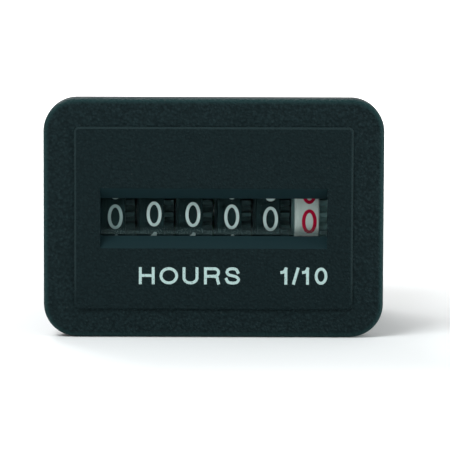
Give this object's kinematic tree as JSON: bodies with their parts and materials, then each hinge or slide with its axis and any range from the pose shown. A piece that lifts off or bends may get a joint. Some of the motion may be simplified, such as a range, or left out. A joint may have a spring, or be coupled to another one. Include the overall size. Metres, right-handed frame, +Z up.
{
  "type": "hour meter",
  "caption": "Rectangular panel-mounted hour meter: grained black flange, window over a row of number wheels, geared counter inside, blade terminals behind.",
  "frame": {"origin": "centre of the flange on the panel seat plane", "axes": "+X right seen from the front, +Y from the front face to the terminals, +Z up"},
  "size_m": [0.044, 0.0415, 0.031],
  "materials": {
    "case_black": "grained black moulding",
    "lens_clear": "clear acrylic",
    "frame_grey": "moulded dark grey",
    "wheel_black": "satin black moulding",
    "wheel_white": "satin white moulding",
    "gear_white": "natural acetal",
    "magnet": "plastic-bonded magnet",
    "plate_brass": "stamped plate",
    "steel": "bright steel",
    "spring_steel": "spring steel",
    "soft_iron": "stamped soft iron",
    "bobbin_black": "moulded black",
    "copper_wire": "enamelled copper winding",
    "board_green": "glass-epoxy board with solder mask",
    "chip_black": "moulded epoxy",
    "capacitor_blue": "sleeved aluminium can",
    "resistor_tan": "lacquered film resistor",
    "blade_brass": "stamped brass",
    "print_white": "stamped white ink",
    "print_red": "stamped red ink"
  },
  "bodies": {
    "root": {"front_case": "case_black", "window_lens": "lens_clear", "counter_frame": "frame_grey", "wheel_shaft": "steel", "pinion_shaft": "steel", "gear_plate": "plate_brass", "motor_plate": "plate_brass", "stack_screws": "steel", "motor_stator": "soft_iron", "coil_core": "soft_iron", "coil_bobbin": "bobbin_black", "coil_winding": "copper_wire", "coil_pins": "steel", "circuit_board": "board_green", "timer_chip": "chip_black", "quartz_crystal": "steel", "smoothing_capacitor": "capacitor_blue", "series_resistor": "resistor_tan", "rectifier_diode": "chip_black", "rear_cover": "case_black", "terminal_left": "blade_brass", "terminal_right": "blade_brass", "side_clip_left": "spring_steel", "side_clip_right": "spring_steel"},
    "tenths": {"tenths_wheel": "wheel_white"},
    "number_1": {"number_wheel_1": "wheel_black"},
    "transfer_1": {"transfer_pinion_1": "gear_white"},
    "number_2": {"number_wheel_2": "wheel_black"},
    "transfer_2": {"transfer_pinion_2": "gear_white"},
    "number_3": {"number_wheel_3": "wheel_black"},
    "transfer_3": {"transfer_pinion_3": "gear_white"},
    "number_4": {"number_wheel_4": "wheel_black"},
    "transfer_4": {"transfer_pinion_4": "gear_white"},
    "number_5": {"number_wheel_5": "wheel_black"},
    "transfer_5": {"transfer_pinion_5": "gear_white"},
    "drive": {"drive_gear": "gear_white"},
    "second": {"second_gear": "gear_white"},
    "rotor": {"rotor_magnet": "magnet", "rotor_pinion": "gear_white"}
  },
  "joints": [
    {"name": "tenths_turn", "type": "hinge", "parent": "root", "child": "tenths", "pos_m": [0.01263, 0.0064, 0], "axis": [-1, 0, 0], "continuous": true},
    {"name": "number_1_turn", "type": "hinge", "parent": "root", "child": "number_1", "pos_m": [-0.01263, 0.0064, 0], "axis": [-1, 0, 0], "continuous": true},
    {"name": "transfer_1_turn", "type": "hinge", "parent": "root", "child": "transfer_1", "pos_m": [-0.01063, 0.0099, -0.00606], "axis": [-1, 0, 0], "continuous": true},
    {"name": "number_2_turn", "type": "hinge", "parent": "root", "child": "number_2", "pos_m": [-0.00758, 0.0064, 0], "axis": [-1, 0, 0], "continuous": true},
    {"name": "transfer_2_turn", "type": "hinge", "parent": "root", "child": "transfer_2", "pos_m": [-0.00558, 0.0099, -0.00606], "axis": [-1, 0, 0], "continuous": true},
    {"name": "number_3_turn", "type": "hinge", "parent": "root", "child": "number_3", "pos_m": [-0.00252, 0.0064, 0], "axis": [-1, 0, 0], "continuous": true},
    {"name": "transfer_3_turn", "type": "hinge", "parent": "root", "child": "transfer_3", "pos_m": [-0.00052, 0.0099, -0.00606], "axis": [-1, 0, 0], "continuous": true},
    {"name": "number_4_turn", "type": "hinge", "parent": "root", "child": "number_4", "pos_m": [0.00252, 0.0064, 0], "axis": [-1, 0, 0], "continuous": true},
    {"name": "transfer_4_turn", "type": "hinge", "parent": "root", "child": "transfer_4", "pos_m": [0.00453, 0.0099, -0.00606], "axis": [-1, 0, 0], "continuous": true},
    {"name": "number_5_turn", "type": "hinge", "parent": "root", "child": "number_5", "pos_m": [0.00758, 0.0064, 0], "axis": [-1, 0, 0], "continuous": true},
    {"name": "transfer_5_turn", "type": "hinge", "parent": "root", "child": "transfer_5", "pos_m": [0.00958, 0.0099, -0.00606], "axis": [-1, 0, 0], "continuous": true},
    {"name": "drive_turn", "type": "hinge", "parent": "root", "child": "drive", "pos_m": [0.0148, 0.0134, 0], "axis": [-1, 0, 0], "continuous": true},
    {"name": "second_turn", "type": "hinge", "parent": "root", "child": "second", "pos_m": [0.0135, 0.0184, 0], "axis": [-1, 0, 0], "continuous": true},
    {"name": "rotor_turn", "type": "hinge", "parent": "root", "child": "rotor", "pos_m": [0.009, 0.0184, -0.006], "axis": [-1, 0, 0], "continuous": true}
  ],
  "couplings": [
    {"joint": "number_1_turn", "follows": "tenths_turn", "ratio": 0.00001},
    {"joint": "transfer_1_turn", "follows": "tenths_turn", "ratio": -0.000025},
    {"joint": "number_2_turn", "follows": "tenths_turn", "ratio": 0.0001},
    {"joint": "transfer_2_turn", "follows": "tenths_turn", "ratio": -0.00025},
    {"joint": "number_3_turn", "follows": "tenths_turn", "ratio": 0.001},
    {"joint": "transfer_3_turn", "follows": "tenths_turn", "ratio": -0.0025},
    {"joint": "number_4_turn", "follows": "tenths_turn", "ratio": 0.01},
    {"joint": "transfer_4_turn", "follows": "tenths_turn", "ratio": -0.025},
    {"joint": "number_5_turn", "follows": "tenths_turn", "ratio": 0.1},
    {"joint": "transfer_5_turn", "follows": "tenths_turn", "ratio": -0.25},
    {"joint": "drive_turn", "follows": "tenths_turn", "ratio": -2.5},
    {"joint": "second_turn", "follows": "tenths_turn", "ratio": 10},
    {"joint": "rotor_turn", "follows": "tenths_turn", "ratio": -50}
  ]
}
